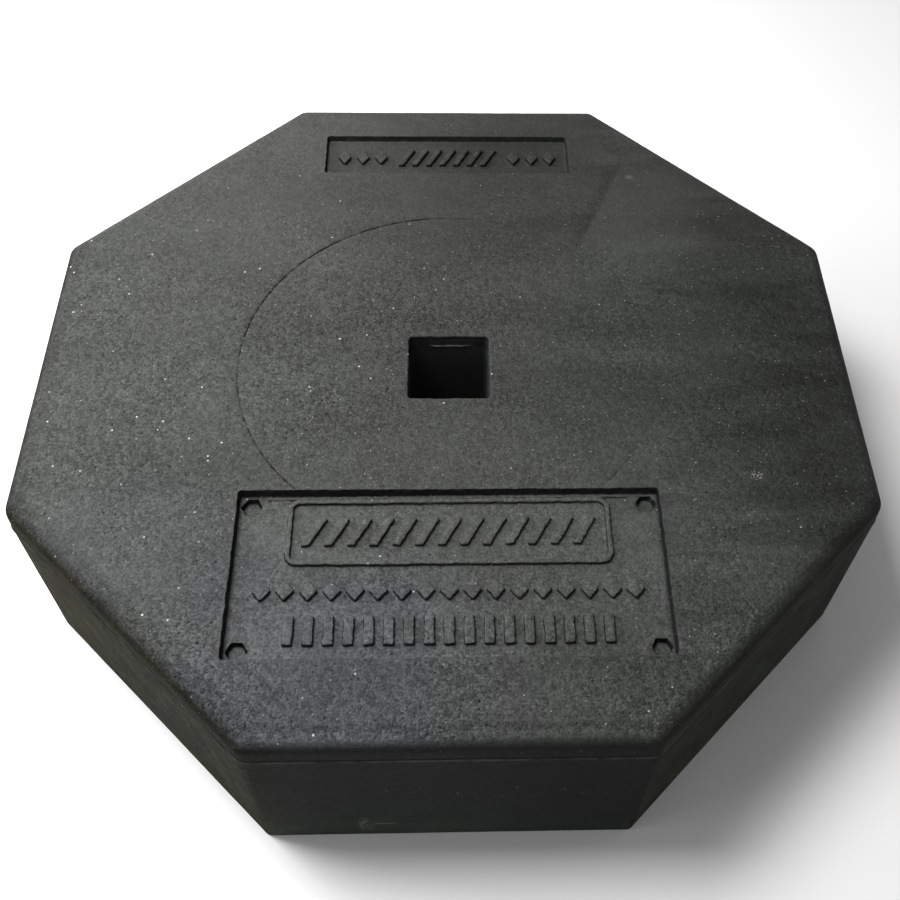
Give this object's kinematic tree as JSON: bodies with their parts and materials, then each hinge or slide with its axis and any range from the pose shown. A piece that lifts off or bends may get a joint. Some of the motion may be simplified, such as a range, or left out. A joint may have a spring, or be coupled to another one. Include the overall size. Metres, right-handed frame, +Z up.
{
  "type": "rubber sign base",
  "caption": "Heavy octagonal block of moulded crumb rubber with a square central hole that holds a sign post upright by its weight.",
  "frame": {"origin": "middle of the plan, on the ground face", "axes": "+Z up; the side with the large recess faces -Y, the side with the small recess faces +Y"},
  "size_m": [0.4708, 0.4658, 0.128],
  "materials": {
    "crumb_rubber": "matt"
  },
  "bodies": {
    "root": {"rubber_base": "crumb_rubber"}
  },
  "joints": []
}
